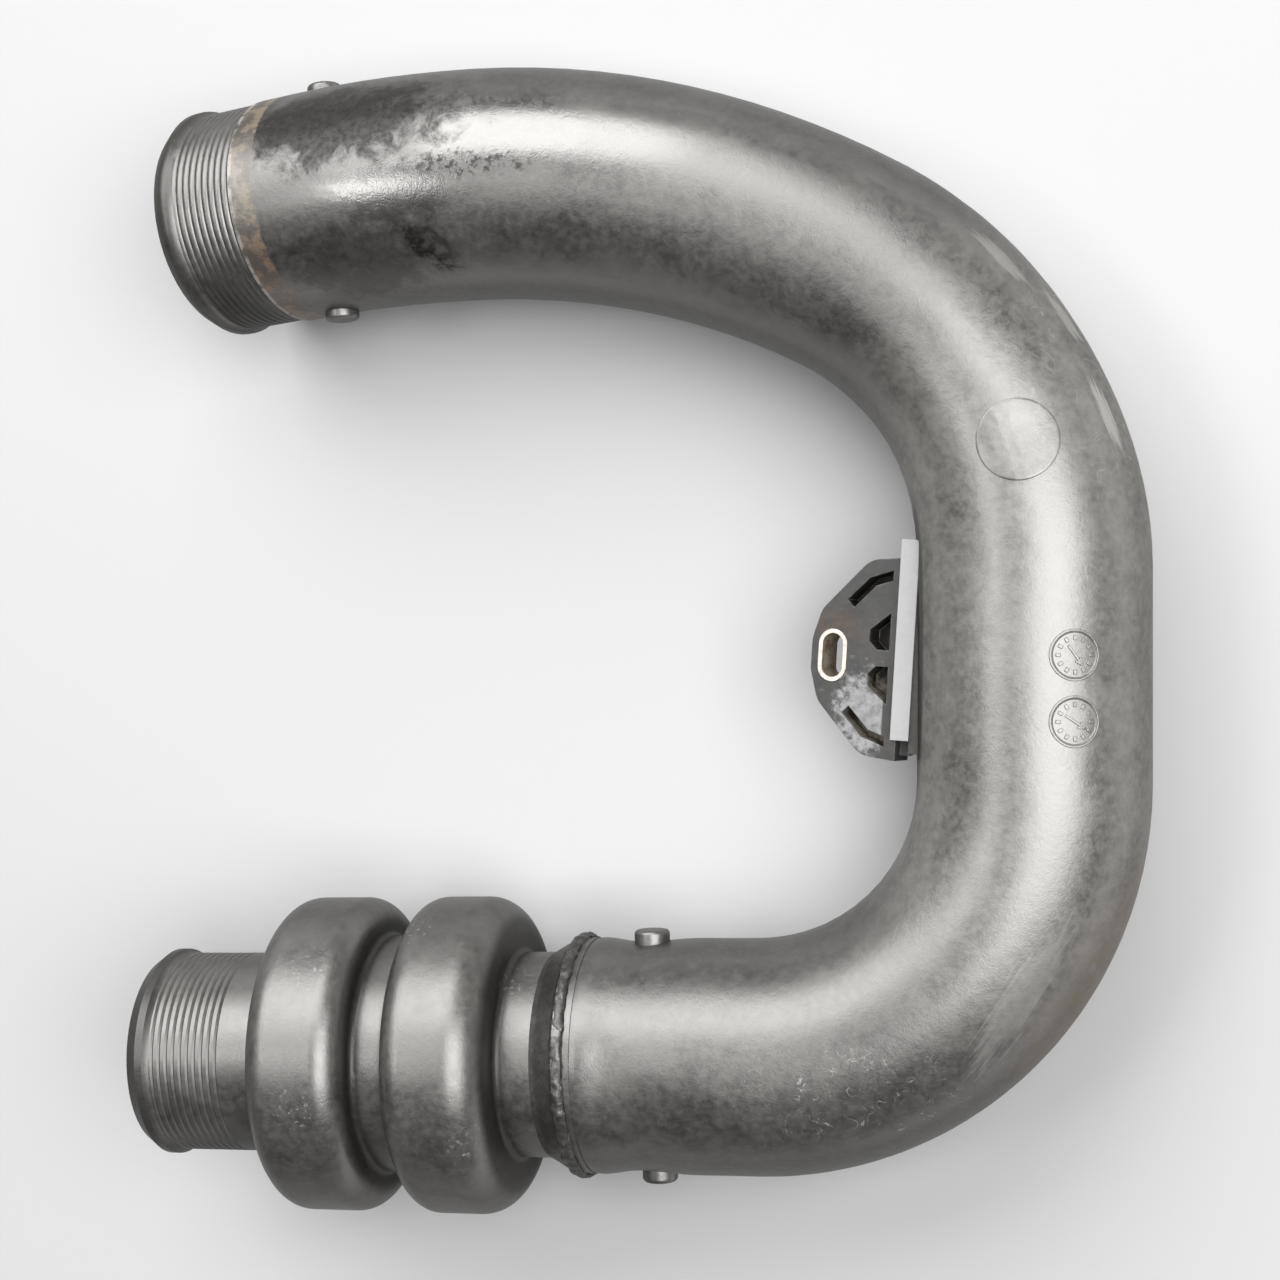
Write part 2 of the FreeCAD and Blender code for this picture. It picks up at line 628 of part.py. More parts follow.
flange_sketch = new_sketch(bracket, "flange_outline", "XY_Plane")
outline(flange_sketch, box_corners("0", "Sizes.flange_thickness",
                                   "-" + half("flange_length"), half("flange_length")))
raised(bracket, "flange", flange_sketch, "Sizes.flange_width")

chip_sketch = new_sketch(bracket, "chip_outline", "XY_Plane", moved(z=size("flange_width") / 2))
outline(chip_sketch, box_corners("0", "Sizes.flange_thickness",
                                 half("flange_length") + " - Sizes.chip_length", half("flange_length")))
sunk(bracket, "chip", chip_sketch, "Sizes.chip_depth")


def mirrored(corners):
    """The same corners on the other side of the web's middle line."""
    return [(x, "-(%s)" % y) for x, y in reversed(corners)]


web_half = [(WEB_ROOT_X, half("web_root")),
            ("Sizes.web_shoulder_reach", half("web_shoulder")),
            ("Sizes.web_flank_reach", half("web_flank")),
            ("Sizes.web_reach", half("web_tip"))]
web_sketch = new_sketch(bracket, "web_outline", "XY_Plane", web_frame)
outline(web_sketch, web_half + mirrored(web_half))
oblong(web_sketch, "Sizes.slot_reach", "Sizes.slot_width + 2 * Sizes.limiter_wall",
       "Sizes.slot_length + 2 * Sizes.limiter_wall")
raised(bracket, "web", web_sketch, "Sizes.web_thickness")


def web_corner(edge):
    """A test for the upright edges at the web's free corners."""
    if not isinstance(edge.Curve, Part.Line):
        return False
    middle = web_frame.inverse().multVec(edge.CenterOfMass)
    along = web_frame.inverse().Rotation.multVec(edge.tangentAt(edge.FirstParameter))
    corners = [(value(x), value(y)) for x, y in web_half[1:]]
    at_corner = any(math.hypot(middle.x - x, abs(middle.y) - y) < SAME_PLACE for x, y in corners)
    return at_corner and abs(along.z) > math.cos(math.radians(UPRIGHT_ANGLE))


rounded(bracket, "web_corners", "Sizes.web_corner_round", web_corner)

# Pockets on the web's face: one beside the middle rib and one curved inside the rim, on each side
POCKET_ROOT = "Sizes.pocket_root"
CHANNEL_TOP = half("web_shoulder") + " - Sizes.rim_wall"
SKEW = " - Sizes.channel_skew"
rib_pocket = [
    (POCKET_ROOT, "Sizes.rib_half"),
    ("Sizes.rib_pocket_neck", "Sizes.rib_half"),
    ("Sizes.rib_pocket_reach", "Sizes.rib_pocket_low"),
    ("Sizes.rib_pocket_reach", "Sizes.rib_pocket_high"),
    (POCKET_ROOT, "Sizes.rib_pocket_end"),
]
rim_pocket = [
    (POCKET_ROOT, CHANNEL_TOP + " - Sizes.channel_width"),
    (POCKET_ROOT, CHANNEL_TOP),
    ("Sizes.channel_knee_reach", "Sizes.channel_knee_half"),
    ("Sizes.channel_end_reach", "Sizes.channel_end_half"),
    ("Sizes.channel_end_reach" + SKEW, "Sizes.channel_end_half" + SKEW),
    ("Sizes.channel_knee_reach" + SKEW, "Sizes.channel_knee_half" + SKEW),
]
for name, corners in (("rib_pocket", rib_pocket), ("rim_pocket", rim_pocket)):
    for side, shape in (("upper", mirrored(corners)), ("lower", corners)):
        pocket_sketch = new_sketch(bracket, "%s_%s_outline" % (side, name), "XY_Plane", web_face)
        outline(pocket_sketch, shape)
        sunk(bracket, "%s_%s" % (side, name), pocket_sketch, "Sizes.pocket_depth")

# The metal sleeve in the web's slot
limiter = doc.addObject("PartDesign::Body", "compression_limiter")
limiter_sketch = new_sketch(limiter, "limiter_outline", "XY_Plane", web_frame)
oblong(limiter_sketch, "Sizes.slot_reach", "Sizes.slot_width + 2 * Sizes.limiter_wall",
       "Sizes.slot_length + 2 * Sizes.limiter_wall")
oblong(limiter_sketch, "Sizes.slot_reach", "Sizes.slot_width", "Sizes.slot_length")
raised(limiter, "limiter_sleeve", limiter_sketch, "Sizes.web_thickness + 2 * Sizes.limiter_proud")

# Laying the pipe down


def crest_rings():
    """The crest edges of both convolutions, as centre, axis and radius."""
    axis = cuff_frame.Rotation.multVec(X_AXIS)
    places = ("%s + %s" % (FIRST_START, FRONT_SHOULDER), "%s - %s" % (FIRST_END, INNER_SHOULDER),
              "%s + %s" % (SECOND_START, INNER_SHOULDER), "%s - %s" % (SECOND_END, REAR_SHOULDER))
    return [(cuff_frame.multVec(X_AXIS * value(place)), axis, value(CREST_RADIUS)) for place in places]


def upper_rings():
    """Rings of the pipe's skin from the bracket's run round to the crown."""
    start, end = route.distances["lower_bend"], route.distances["crown"]
    distances = [start + (end - start) * number / REST_RINGS for number in range(REST_RINGS + 1)]
    return [(*route.at(distance), value(skin_radius(distance))) for distance in distances]


def bead_rings():
    """Both edges of the outlet bead's crest."""
    axis = shoulder.Rotation.multVec(Z_AXIS)
    radius = value(OUTLET_RADIUS + " + Sizes.bead_height")
    return [(shoulder.multVec(Z_AXIS * value(place)), axis, radius)
            for place in (OUTLET_BEAD, OUTLET_CREST_END)]


def lowest_point(rings, upwards):
    """The lowest point of a set of rings, seen along an upward direction."""
    points = []
    for centre, axis, radius in rings:
        fall = (axis * axis.dot(upwards) - upwards).normalize()
        points.append(centre + fall * radius)
    return min(points, key=lambda point: point.dot(upwards))


def resting_upwards():
    """The upward direction when the pipe lies on bellows, upper bend and outlet bead."""
    supports = (crest_rings(), upper_rings(), bead_rings())
    upwards = Z_AXIS
    for _ in range(REST_ROUNDS):
        one, two, three = [lowest_point(rings, upwards) for rings in supports]
        upwards = (two - one).cross(three - one).normalize()
    return upwards


rest = FreeCAD.Placement(FreeCAD.Vector(), FreeCAD.Rotation(resting_upwards(), Z_AXIS))
PIECES = ((main_pipe, moved()), (cuff, cuff_frame), (bracket, seat_frame), (limiter, seat_frame))


def lay_down(frame):
    """Put every piece at its own place in the drawing, and the drawing at a frame."""
    for piece, place in PIECES:
        piece.Placement = frame.multiply(place)
    doc.recompute()


lay_down(rest)
box = FreeCAD.BoundBox()
for piece, _ in PIECES:
    box.add(piece.Shape.optimalBoundingBox(False, False))
lay_down(moved(-box.Center.x, -box.Center.y, -box.ZMin).multiply(rest))

for item in doc.Objects:
    if "Invalid" in item.State or "Error" in item.State:
        raise RuntimeError("%s failed: %s" % (item.Name, item.State))
for piece, _ in PIECES:
    if piece.Shape.isNull() or not piece.Shape.isValid():
        raise RuntimeError("%s has no valid shape" % piece.Label)
    if len(piece.Shape.Solids) != 1:
        raise RuntimeError("%s is not one solid" % piece.Label)

os.makedirs("parts", exist_ok=True)
for piece, _ in PIECES:
    piece.Shape.exportStep("parts/%s.step" % piece.Label)
    print(piece.Label, round(piece.Shape.Volume / MM3_PER_CM3, 1), "cm3")
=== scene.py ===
"""Looks of a moulded intercooler pipe: finishes, weld flash, mould marks and a pale studio."""
import json
import math

import bpy
from mathutils import Matrix, Vector

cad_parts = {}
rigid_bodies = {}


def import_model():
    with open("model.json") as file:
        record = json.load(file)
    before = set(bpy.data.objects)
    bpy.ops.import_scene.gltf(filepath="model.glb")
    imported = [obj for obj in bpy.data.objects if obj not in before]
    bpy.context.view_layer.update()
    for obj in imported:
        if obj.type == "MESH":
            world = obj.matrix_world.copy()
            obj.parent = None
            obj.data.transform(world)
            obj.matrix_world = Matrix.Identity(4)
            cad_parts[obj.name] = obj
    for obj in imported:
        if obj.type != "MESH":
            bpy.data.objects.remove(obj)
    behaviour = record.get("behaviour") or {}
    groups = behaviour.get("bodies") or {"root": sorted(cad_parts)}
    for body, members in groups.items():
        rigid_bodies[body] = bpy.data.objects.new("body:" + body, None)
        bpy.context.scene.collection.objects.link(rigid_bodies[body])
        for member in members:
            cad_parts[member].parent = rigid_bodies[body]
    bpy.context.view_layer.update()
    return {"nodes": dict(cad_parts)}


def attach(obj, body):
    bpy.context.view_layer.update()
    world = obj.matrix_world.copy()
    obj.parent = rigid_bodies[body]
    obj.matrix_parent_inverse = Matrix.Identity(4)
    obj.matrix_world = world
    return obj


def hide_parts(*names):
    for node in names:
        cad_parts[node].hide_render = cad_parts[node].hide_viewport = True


bl_info = {
    "name": "Intercooler Pipe",
    "version": (1, 0, 0),
    "blender": (4, 5, 0),
    "location": "3D View > Sidebar > Intercooler Pipe",
    "description": "Dresses a moulded charge-air pipe in worn nylon and sets it in a pale studio",
    "category": "Object",
}

for startup_item in list(bpy.data.objects):
    bpy.data.objects.remove(startup_item)
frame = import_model()
BODY = "root"
PIPE_SKIN = "pipe_skin"
MM = 0.001
MERGE = 1e-6
SMOOTH_ANGLE = math.radians(40)

# Places on the pipe, in metres: a point on each axis and the way that axis runs
OUTLET_SHOULDER = Vector((-0.12236, 0.14765, 0.04115))
OUTLET_WAY = Vector((-0.98896, -0.09834, -0.11088))
WELD_PLACE = Vector((-0.01227, -0.13503, 0.04940))
WELD_WAY = Vector((0.99750, 0.03404, -0.06189))
# Walls of the convolutions, along the cuff from the weld, and flecked places on their crests
CONVOLUTION_WALLS = (-0.0240, -0.0575, -0.0704, -0.1030)
CREST_REACH = (0.011, 0.011, 0.011)
CREST_MARKS = ((-0.0343, -0.1086, 0.0701), (-0.0938, -0.1024, 0.0922), (-0.0927, -0.1462, 0.1055),
               (-0.0640, -0.0925, 0.0780), (-0.0376, -0.1568, 0.0958))
# Scuffs on the upper bend's edge: place, heading in degrees and strength
EDGE_SCUFFS = (((0.1532, 0.0699, 0.0507), 112.5, 0.75), ((0.1401, 0.0996, 0.0460), 130.0, 0.5),
               ((0.1219, 0.1180, 0.0542), 135.0, 0.35))
# Reach of a scuff and of the hairs that it is made of, and the same for the streak on the lower bend
SCUFF_REACH = (0.020, 0.0034, 0.008)
SCUFF_HAIR = (0.020, 0.0009, 0.0016)
STREAK = (0.1311, -0.1044, 0.0713)
STREAK_HEADING = math.radians(57)
STREAK_REACH = (0.048, 0.0095, 0.020)
STREAK_HAIR = (0.030, 0.0016, 0.0016)
# Worn and dirty areas, and areas of painted shade: centre, and reach along each axis
ROAD_HAZE = ((0.135, 0.0, 0.055), (0.075, 0.160, 0.090))
WET_PATCH = ((-0.035, 0.1620, 0.0785), (0.050, 0.022, 0.030))
WET_PATCH_LOW = ((-0.068, 0.1455, 0.0815), (0.044, 0.019, 0.025))
WIPED_SHEEN = ((0.002, 0.1585, 0.0790), (0.046, 0.019, 0.030))
RUSTY_SIDE = ((-0.124, 0.119, 0.066), (0.03, 0.024, 0.03))
SCRATCHED_BEND = ((0.150, 0.085, 0.050), (0.035, 0.075, 0.045))
SCRATCHED_RUN = ((0.084, -0.137, 0.078), (0.055, 0.022, 0.03))
SOILED_EDGE = ((0.1493, -0.1046, 0.0483), (0.065, 0.017, 0.034))
OILY_FILM = ((-0.0880, 0.1690, 0.0745), (0.074, 0.0290, 0.045))
OILY_TRAIL = ((-0.042, 0.1520, 0.0800), (0.038, 0.0080, 0.030))
OILY_SMEAR = ((-0.0575, 0.1285, 0.0735), (0.026, 0.0095, 0.020))
SMEAR_HEADING = math.radians(-35)
FAINT_SMEAR = ((-0.0850, 0.1230, 0.0720), (0.050, 0.0250, 0.035))
PAINTED_SHADE_BESIDE_BRACKET = ((0.0940, -0.0030, 0.0470), (0.0070, 0.056, 0.012))
OUTLET_UNDERSIDE_SHADE = ((-0.1360, 0.1130, 0.0450), (0.030, 0.028, 0.040))
SPIGOT_UNDERSIDE_SHADE = ((-0.1350, -0.1720, 0.0580), (0.060, 0.028, 0.040))
SLEEVE_RUST = ((0.0675, 0.0035, 0.0420), (0.011, 0.010, 0.010))
SCRAPED_POCKET = ((0.0775, -0.0225, 0.0440), (0.019, 0.023, 0.030))
# Mould dials: name, middle, the way they face and where their arrow points, in degrees
DIALS = (("mould_dial_upper", (0.1458, -0.0029, 0.0693), (0.44, 0.04, 0.89), -54.0),
         ("mould_dial_lower", (0.1458, -0.0227, 0.0699), (0.42, 0.04, 0.91), -33.0))
# Faces of the bracket: the flange's near edge, its side towards the pipe, and the web's face
FLANGE_EDGE = Vector((0.0926, 0.0009, 0.0482))
FLANGE_EDGE_WAY = Vector((0.0585, 0.0300, 0.9978))
FLANGE_BACK = Vector((0.0867, 0.0010, 0.0270))
FLANGE_WAY = Vector((0.9964, -0.0600, -0.0600))
WEB_FACE = Vector((0.0729, 0.0074, 0.0418))
WEB_WAY = Vector((-0.2000, 0.0400, 0.9790))
# Round mark of a mould insert: middle, the way it faces, its rings, and how far its middle sinks
INSERT_PLACE = Vector((0.1293, 0.0613, 0.0701))
INSERT_WAY = Vector((0.11, 0.07, 0.99))
INSERT_RINGS = 14
INSERT_SINK = 0.4 * MM
INSERT_RELIEF = 0.55 * MM
# Parts of a mould dial
RIM_WIDTH = 0.7 * MM
TICK_LENGTH = 1.5 * MM
TICK_WIDTH = 1.1 * MM
TICK_INSET = 2.0 * MM
ARROW_LENGTH = 7.0 * MM
ARROW_WIDTH = 0.8 * MM
ARROW_TIP = 3.4 * MM
BARB_LENGTH = 2.6 * MM
BARB_MIDDLE = 2.6 * MM
BARB_ANGLE = math.radians(28)
# Roll of weld flash: its offset from the weld, its stretch along the pipe and the size of its lumps
FLASH_OFFSET = 2.1 * MM
FLASH_STRETCH = 1.7
FLASH_GRAIN = 2.6 * MM
# Shine of the nylon: its thin gloss, and the dull film that shows from glancing angles
GLOSS = 0.45
SATIN = {"IOR": 2.0, "Specular_IOR_Level": 1.0, "Specular_Tint": (1.0, 0.98, 0.945, 1.0),
         "Coat_Weight": GLOSS, "Coat_IOR": 1.7, "Coat_Roughness": 0.30}
GLANCING = (0.20, 0.60)
GLANCING_SHARE = 0.75
# Softboxes: name, place, width and depth
SOFTBOXES = (("key", (-0.60, 1.45, 1.50), 2.6, 1.6),
             ("side", (1.15, 0.10, 2.00), 1.7, 2.0),
             ("fill", (-0.94, 0.04, 1.83), 0.5, 0.5))
# Floor: its side, the grey of the light that it sends back, and where it fades into the room
FLOOR_SIDE = 12.0
FLOOR_BOUNCE = (0.12, 0.12, 0.12)
FLOOR_FADE = (0.7, 2.4)
CAMERA_UP = Vector((-0.00085, 0.99961, -0.02777))


# Settings


class PipeColours(bpy.types.PropertyGroup):
    """Colours of the pipe's plastics, metal and dirt, and of some painted shade and highlights."""

    nylon: bpy.props.FloatVectorProperty(
        name="Nylon", description="Clean satin black plastic",
        subtype="COLOR", min=0.0, max=1.0, default=(0.024, 0.0235, 0.0225))
    dust: bpy.props.FloatVectorProperty(
        name="Dust", description="Grey film on handled plastic",
        subtype="COLOR", min=0.0, max=1.0, default=(0.098, 0.094, 0.087))
    haze: bpy.props.FloatVectorProperty(
        name="Haze", description="Road dust that greyed the outer run",
        subtype="COLOR", min=0.0, max=1.0, default=(0.29, 0.275, 0.25))
    # This pale colour also paints a highlight along the outlet's shoulder
    scuff_and_highlight: bpy.props.FloatVectorProperty(
        name="Scuff", description="Whitened scratches",
        subtype="COLOR", min=0.0, max=1.0, default=(0.52, 0.51, 0.49))
    soil: bpy.props.FloatVectorProperty(
        name="Soil", description="Brown road dust",
        subtype="COLOR", min=0.0, max=1.0, default=(0.16, 0.125, 0.09))
    stain: bpy.props.FloatVectorProperty(
        name="Hose stain", description="Tan band that the hose's edge left at the outlet",
        subtype="COLOR", min=0.0, max=1.0, default=(0.22, 0.168, 0.115))
    # This dark colour also paints shade: in the bracket's pockets, in the cuff's creases, beside the
    # bracket, on the spigots' beads and under them
    oil_and_shade: bpy.props.FloatVectorProperty(
        name="Oil", description="Dark oily smears",
        subtype="COLOR", min=0.0, max=1.0, default=(0.018, 0.016, 0.013))
    bracket: bpy.props.FloatVectorProperty(
        name="Bracket", description="Injection-moulded bracket",
        subtype="COLOR", min=0.0, max=1.0, default=(0.045, 0.046, 0.048))
    sleeve: bpy.props.FloatVectorProperty(
        name="Sleeve", description="Plated metal of the screw sleeve",
        subtype="COLOR", min=0.0, max=1.0, default=(0.78, 0.73, 0.65))
    rust: bpy.props.FloatVectorProperty(
        name="Rust", description="Rust in the screw sleeve",
        subtype="COLOR", min=0.0, max=1.0, default=(0.17, 0.098, 0.052))
    # This pale grey also paints a highlight on the near edge of the bracket's flange
    abraded_and_highlight: bpy.props.FloatVectorProperty(
        name="Abraded plastic", description="Pale grey of plastic that was scraped or cut",
        subtype="COLOR", min=0.0, max=1.0, default=(0.52, 0.52, 0.52))
    clay: bpy.props.FloatVectorProperty(
        name="Clay", description="Beige dirt caught in a pocket",
        subtype="COLOR", min=0.0, max=1.0, default=(0.33, 0.29, 0.23))
    floor: bpy.props.FloatVectorProperty(
        name="Floor", description="Pale studio floor",
        subtype="COLOR", min=0.0, max=1.0, default=(0.70, 0.70, 0.70))


class PipeMarks(bpy.types.PropertyGroup):
    """Sizes of the marks that moulding and welding left."""

    flash_radius: bpy.props.FloatProperty(
        name="Flash radius", description="Middle of the weld flash, from the pipe's axis",
        unit="LENGTH", default=38.3 * MM)
    flash_thickness: bpy.props.FloatProperty(
        name="Flash thickness", description="Half the height of the weld flash",
        unit="LENGTH", default=1.25 * MM)
    flash_lumps: bpy.props.FloatProperty(
        name="Flash lumps", description="Unevenness of the weld flash",
        unit="LENGTH", default=1.7 * MM)
    dial_radius: bpy.props.FloatProperty(
        name="Dial radius", description="Mould dial, to the inside of its rim",
        unit="LENGTH", default=7.1 * MM)
    dial_ticks: bpy.props.IntProperty(
        name="Dial ticks", description="Ticks round a mould dial", min=4, default=12)
    disc_radius: bpy.props.FloatProperty(
        name="Disc radius", description="Flat round mark of a mould insert",
        unit="LENGTH", default=12.4 * MM)
    relief: bpy.props.FloatProperty(
        name="Relief", description="Height of the dials above the pipe",
        unit="LENGTH", default=0.4 * MM)


class StudioSettings(bpy.types.PropertyGroup):
    """Camera and lights."""

    camera_place: bpy.props.FloatVectorProperty(
        name="Camera", description="Where the camera stands",
        subtype="TRANSLATION", unit="LENGTH", default=(0.21880, 0.01989, 0.72863))
    camera_aim: bpy.props.FloatVectorProperty(
        name="Aim", description="What the camera looks at",
        subtype="TRANSLATION", unit="LENGTH", default=(0.00309, 0.00071, 0.04468))
    lens: bpy.props.FloatProperty(
        name="Lens", description="Focal length on a 36 mm sensor", default=61.875)
    key_power: bpy.props.FloatProperty(
        name="Key light", description="Large softbox beyond the upper arm", default=44.2)
    side_power: bpy.props.FloatProperty(
        name="Side light", description="Softbox over the right run", default=48.0)
    fill_power: bpy.props.FloatProperty(
        name="Fill light", description="Softbox over the hose ends", default=4.8)
    sky: bpy.props.FloatProperty(
        name="Room light", description="Even light from all sides", default=0.03)
    backdrop: bpy.props.FloatProperty(
        name="Backdrop", description="Brightness of the room as the camera sees it", default=0.88)


# Shader expressions


class Wire:
    """A shader socket that takes part in Python arithmetic."""

    def __init__(self, finish, socket):
        self.finish = finish
        self.socket = socket

    def maths(self, operation, *operands):
        """A Math node."""
        settings = {"operation": operation}
        return self.finish.node("ShaderNodeMath", settings, dict(enumerate(operands)))

    def __add__(self, other):
        return self.maths("ADD", self, other)

    def __radd__(self, other):
        return self.maths("ADD", other, self)

    def __sub__(self, other):
        return self.maths("SUBTRACT", self, other)

    def __rsub__(self, other):
        return self.maths("SUBTRACT", other, self)

    def __mul__(self, other):
        return self.maths("MULTIPLY", self, other)

    def __rmul__(self, other):
        return self.maths("MULTIPLY", other, self)

    def __abs__(self):
        return self.maths("ABSOLUTE", self)

    def between(self, low, high):
        """0 below low, 1 above high, eased between them; the other way round if low > high."""
        if low > high:
            return 1.0 - self.between(high, low)
        return self.finish.node("ShaderNodeMapRange", {"interpolation_type": "SMOOTHSTEP"},
                                {"Value": self, "From Min": low, "From Max": high})


class Finish:
    """A material made of a principled shader and the expressions that feed it."""

    def __init__(self, name, **constants):
        self.material = bpy.data.materials.new(name)
        self.material.use_nodes = True
        self.tree = self.material.node_tree
        self.shader = self.tree.nodes["Principled BSDF"]
        self.place = self.node("ShaderNodeTexCoord", {}, {}, "Object")
        for socket, number in constants.items():
            self.shader.inputs[socket.replace("_", " ")].default_value = number

    def node(self, kind, settings, inputs, output=0):
        """Any node: its settings first, then values or wires for its sockets."""
        made = self.tree.nodes.new(kind)
        for name, setting in settings.items():
            setattr(made, name, setting)
        for name, given in inputs.items():
            if isinstance(given, Wire):
                self.tree.links.new(given.socket, made.inputs[name])
            else:
                made.inputs[name].default_value = given
        return Wire(self, made.outputs[output])

    def vector(self, operation, *operands, output="Vector"):
        """A Vector Math node."""
        settings = {"operation": operation}
        return self.node("ShaderNodeVectorMath", settings, dict(enumerate(operands)), output)

    def shifted(self, centre, reach, turn=0.0):
        """Place about a centre, in a frame turned about Z, as shares of a reach along each axis."""
        return self.node("ShaderNodeMapping", {"vector_type": "TEXTURE"}, {
            "Vector": self.place, "Location": centre, "Rotation": (0, 0, turn), "Scale": reach})

    def noise(self, scale, detail=4.0, roughness=0.55, vector=None, distortion=0.0):
        """A noise from 0 to 1, on Object coordinates or on a vector."""
        return self.node("ShaderNodeTexNoise", {}, {
            "Vector": vector or self.place, "Scale": scale, "Detail": detail,
            "Roughness": roughness, "Distortion": distortion})

    def along(self, centre, way):
        """Signed distance from a point, along a way."""
        about = self.vector("SUBTRACT", self.place, centre)
        return self.vector("DOT_PRODUCT", about, way, output="Value")

    def around(self, centre, way):
        """Distance from an axis through a point."""
        about = self.vector("SUBTRACT", self.place, centre)
        across = self.vector("CROSS_PRODUCT", about, way)
        return self.vector("LENGTH", across, output="Value")

    def near(self, centre, reach, turn=0.0, core=0.35):
        """1 near a centre, falling to 0 at a reach that may differ along each axis."""
        distance = self.vector("LENGTH", self.shifted(centre, reach, turn), output="Value")
        return distance.between(1.0, core)

    def lines(self, scale, width, distortion):
        """Thin wandering lines: the contours of a noise."""
        contour = abs(self.noise(scale, 2.0, 0.5, distortion=distortion) - 0.5)
        return contour.between(width, width * 0.25)

    def mix(self, mask, low, high):
        """One colour over another, by a mask."""
        both = [colour if isinstance(colour, Wire) else tuple(colour) + (1,) for colour in (low, high)]
        return self.node("ShaderNodeMix", {"data_type": "RGBA"}, {0: mask, 6: both[0], 7: both[1]}, 2)

    def feed(self, socket, wire):
        """Link a wire to a socket of the principled shader."""
        self.tree.links.new(wire.socket, self.shader.inputs[socket])

    def rounded(self, radius):
        """Normals of the surface with its edges rounded."""
        return self.node("ShaderNodeBevel", {"samples": 6}, {"Radius": radius})

    def edges(self, radius):
        """1 on sharp edges, 0 on flat faces."""
        flat = self.node("ShaderNodeNewGeometry", {}, {}, "Normal")
        agreement = self.vector("DOT_PRODUCT", self.rounded(radius), flat, output="Value")
        return agreement.between(0.98, 0.80)

    def bump(self, height, depth, rounding=0.0):
        """Relief in metres from a height of 0 to 1, on edges that may be rounded."""
        inputs = {"Height": height, "Strength": 1.0, "Distance": depth}
        if rounding:
            inputs["Normal"] = self.rounded(rounding)
        self.normal = self.node("ShaderNodeBump", {}, inputs)
        self.feed("Normal", self.normal)

    def film(self, share, colour):
        """A dull coat, which hides the shine under it; the bump comes first."""
        dull = self.node("ShaderNodeBsdfPrincipled", {}, {
            "Base Color": colour, "Roughness": 0.5, "IOR": 1.3, "Normal": self.normal})
        shiny = Wire(self, self.shader.outputs[0])
        both = self.node("ShaderNodeMixShader", {}, {0: share, 1: shiny, 2: dull})
        self.tree.links.new(both.socket, self.tree.nodes["Material Output"].inputs["Surface"])


def colours():
    """The scene's colours of plastics, metal and dirt."""
    return bpy.context.scene.pipe_colours


def marks():
    """The scene's sizes of mould and weld marks."""
    return bpy.context.scene.pipe_marks


class MouldedNylon(Finish):
    """Satin black nylon under a film of dust, ready for a piece's own wear."""

    def __init__(self, name, base=None, **constants):
        super().__init__(name, **(constants or SATIN))
        grain = self.noise(1500, 2.0, 0.6)
        self.speckle = self.noise(420, 3.0, 0.65)
        cloud = self.noise(38, 6.0, 0.62)
        blotch = self.noise(170, 5.0, 0.65)
        self.dust = (cloud.between(0.30, 0.70) * 0.35 + blotch.between(0.34, 0.70) * 0.35
                     + self.speckle.between(0.34, 0.70) * 0.30)
        self.colour = self.mix(self.dust, base or colours().nylon, colours().dust)
        self.roughness = 0.31 + self.dust * 0.16 + self.speckle * 0.08
        self.height = grain * 0.25 + self.speckle * 0.45 + blotch * 0.3
        self.grease_and_shade = None

    def cover(self, mask, colour, roughness):
        """Lay a colour and a roughness over what is there."""
        self.colour = self.mix(mask, self.colour, colour)
        self.polish(mask, roughness)

    def polish(self, mask, roughness):
        """Change only the roughness where a mask is 1."""
        self.roughness = self.roughness * (1.0 - mask) + mask * roughness

    def patch(self, centre, reach, ragged, turn=0.0):
        """A patch whose edge is broken up by a noise."""
        inside = self.near(centre, reach, turn, 0.0)
        return (inside + ragged * 1.7).between(1.10, 1.60)

    def lay_grease_and_shade(self, mask):
        """Lay a dark, dull film where a mask is 1: oily dirt in some places, painted shade in others.
        """
        self.grease_and_shade = self.grease_and_shade + mask if self.grease_and_shade else mask

    def scrape(self, place, heading, reach, hair, share, roughness):
        """A pale scrape of hairs along a heading."""
        hairs = self.noise(1.0, 4.0, 0.6, self.shifted(place, hair, heading))
        self.cover(self.patch(place, reach, hairs, heading) * share, colours().scuff_and_highlight, roughness)

    def done(self, relief=0.00020, rounding=0.0):
        """Feed the shader, and lay the dull film over it."""
        self.feed("Base Color", self.colour)
        self.feed("Roughness", self.roughness)
        self.bump(self.height, relief, rounding)
        facing = self.node("ShaderNodeLayerWeight", {}, {"Blend": 0.5}, "Facing")
        share = facing.between(*GLANCING) * GLANCING_SHARE
        colour = self.colour
        # Dirt and painted shade darken the colour and dull the shine
        if self.grease_and_shade:
            share = self.grease_and_shade + (1.0 - self.grease_and_shade) * share
            colour = self.mix(self.grease_and_shade, colour, colours().oil_and_shade)
        self.film(share, colour)
        return self.material


